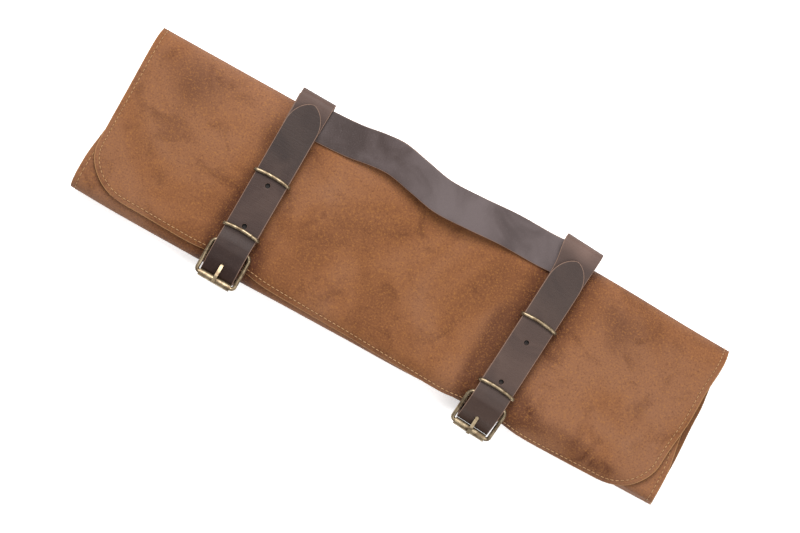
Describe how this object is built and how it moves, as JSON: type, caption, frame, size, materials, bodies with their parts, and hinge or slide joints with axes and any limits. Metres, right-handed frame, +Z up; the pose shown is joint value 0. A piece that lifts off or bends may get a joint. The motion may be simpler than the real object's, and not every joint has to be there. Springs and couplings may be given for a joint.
{
  "type": "brush roll case",
  "caption": "Folded leather roll for artist brushes, held shut by roller-buckle straps with keepers and an arched carrying handle.",
  "frame": {"origin": "on the surface that the roll lies on, under the middle of its back panel", "axes": "+X along the roll, +Y from the buckle edge toward the handle edge, +Z up out of the flap"},
  "size_m": [0.464, 0.1591, 0.0475],
  "materials": {
    "roll_leather": "waxed matte tan",
    "strap_leather": "waxed dark brown",
    "pocket_leather": "soft matte tan",
    "lining": "plain woven cotton",
    "brass": "antique satin"
  },
  "bodies": {
    "case": {"back_panel": "roll_leather", "back_lining": "lining", "top_fold": "roll_leather", "bottom_fold": "roll_leather", "back_pocket_panel": "pocket_leather", "left_strap_back": "strap_leather", "left_strap_loop": "strap_leather", "right_strap_back": "strap_leather", "right_strap_loop": "strap_leather"},
    "flap": {"flap_panel": "roll_leather", "flap_lining": "lining", "left_handle_end": "strap_leather", "right_handle_end": "strap_leather", "left_strap_front": "strap_leather", "left_fixed_keeper": "brass", "left_chape_rivets": "brass", "right_strap_front": "strap_leather", "right_fixed_keeper": "brass", "right_chape_rivets": "brass"},
    "inner_leaf": {"inner_panel": "roll_leather", "inner_lining": "lining", "inner_pocket_panel": "pocket_leather"},
    "handle": {"handle_strip": "strap_leather"},
    "left_tail_low": {"left_tail_bend": "strap_leather"},
    "left_tail_end": {"left_strap_tail": "strap_leather"},
    "left_frame": {"left_buckle_frame": "brass"},
    "left_roller": {"left_buckle_roller": "brass"},
    "left_tongue": {"left_buckle_tongue": "brass"},
    "left_keeper": {"left_loose_keeper": "brass"},
    "right_tail_low": {"right_tail_bend": "strap_leather"},
    "right_tail_end": {"right_strap_tail": "strap_leather"},
    "right_frame": {"right_buckle_frame": "brass"},
    "right_roller": {"right_buckle_roller": "brass"},
    "right_tongue": {"right_buckle_tongue": "brass"},
    "right_keeper": {"right_loose_keeper": "brass"}
  },
  "joints": [
    {"name": "flap_fold", "type": "hinge", "parent": "case", "child": "flap", "pos_m": [0, 0.0637, 0.01705], "axis": [-1, 0, 0], "range_deg": [0, 130], "deforming": ["top_fold", "left_strap_loop", "right_strap_loop"]},
    {"name": "inner_fold", "type": "hinge", "parent": "case", "child": "inner_leaf", "pos_m": [0, -0.0619, 0.0155], "axis": [1, 0, 0], "range_deg": [0, 117], "deforming": ["bottom_fold"]},
    {"name": "handle_lift", "type": "hinge", "parent": "flap", "child": "handle", "pos_m": [0, 0.07, 0.0333], "axis": [1, 0, 0], "range_deg": [-75, 0]},
    {"name": "left_tail_fold", "type": "hinge", "parent": "case", "child": "left_tail_low", "pos_m": [-0.11292, -0.06559, 0.0042], "axis": [0.9999, -0.014, 0], "range_deg": [0, 80], "deforming": ["left_tail_bend"]},
    {"name": "left_tail_straighten", "type": "hinge", "parent": "left_tail_low", "child": "left_tail_end", "pos_m": [-0.11295, -0.06789, 0.0333], "axis": [0.9999, -0.014, 0], "range_deg": [0, 96], "deforming": ["left_strap_tail"]},
    {"name": "left_frame_pivot", "type": "hinge", "parent": "flap", "child": "left_frame", "pos_m": [-0.11266, -0.047, 0.0358], "axis": [-0.9999, 0.014, 0], "range_deg": [0, 52]},
    {"name": "left_tongue_pivot", "type": "hinge", "parent": "flap", "child": "left_tongue", "pos_m": [-0.11266, -0.047, 0.0358], "axis": [-0.9999, 0.014, 0], "range_deg": [0, 104]},
    {"name": "left_roller_spin", "type": "hinge", "parent": "left_frame", "child": "left_roller", "pos_m": [-0.11303, -0.07346, 0.03441], "axis": [0.9999, -0.014, 0], "continuous": true},
    {"name": "left_keeper_slide", "type": "slide", "parent": "flap", "child": "left_keeper", "axis": [0.014, 0.9999, 0], "range_m": [-0.03, 0.025]},
    {"name": "right_tail_fold", "type": "hinge", "parent": "case", "child": "right_tail_low", "pos_m": [0.09808, -0.06547, 0.0042], "axis": [0.998, -0.0628, 0], "range_deg": [0, 58], "deforming": ["right_tail_bend"]},
    {"name": "right_tail_straighten", "type": "hinge", "parent": "right_tail_low", "child": "right_tail_end", "pos_m": [0.09764, -0.0724, 0.02798], "axis": [0.998, -0.0628, 0], "range_deg": [0, 115], "deforming": ["right_strap_tail"]},
    {"name": "right_frame_pivot", "type": "hinge", "parent": "flap", "child": "right_frame", "pos_m": [0.09887, -0.05289, 0.0358], "axis": [-0.998, 0.0628, 0], "range_deg": [0, 52]},
    {"name": "right_tongue_pivot", "type": "hinge", "parent": "flap", "child": "right_tongue", "pos_m": [0.09887, -0.05289, 0.0358], "axis": [-0.998, 0.0628, 0], "range_deg": [0, 104]},
    {"name": "right_roller_spin", "type": "hinge", "parent": "right_frame", "child": "right_roller", "pos_m": [0.09729, -0.07805, 0.02761], "axis": [0.998, -0.0628, 0], "continuous": true},
    {"name": "right_keeper_slide", "type": "slide", "parent": "flap", "child": "right_keeper", "axis": [0.0628, 0.998, 0], "range_m": [-0.03, 0.025]}
  ],
  "couplings": [
    {"joint": "inner_fold", "follows": "flap_fold", "ratio": 0.9},
    {"joint": "left_tail_fold", "follows": "flap_fold", "ratio": 0.61},
    {"joint": "left_tail_straighten", "follows": "flap_fold", "ratio": 0.735},
    {"joint": "left_frame_pivot", "follows": "flap_fold", "ratio": 0.4},
    {"joint": "left_tongue_pivot", "follows": "flap_fold", "ratio": 0.8},
    {"joint": "right_tail_fold", "follows": "flap_fold", "ratio": 0.44},
    {"joint": "right_tail_straighten", "follows": "flap_fold", "ratio": 0.88},
    {"joint": "right_frame_pivot", "follows": "flap_fold", "ratio": 0.4},
    {"joint": "right_tongue_pivot", "follows": "flap_fold", "ratio": 0.8}
  ]
}
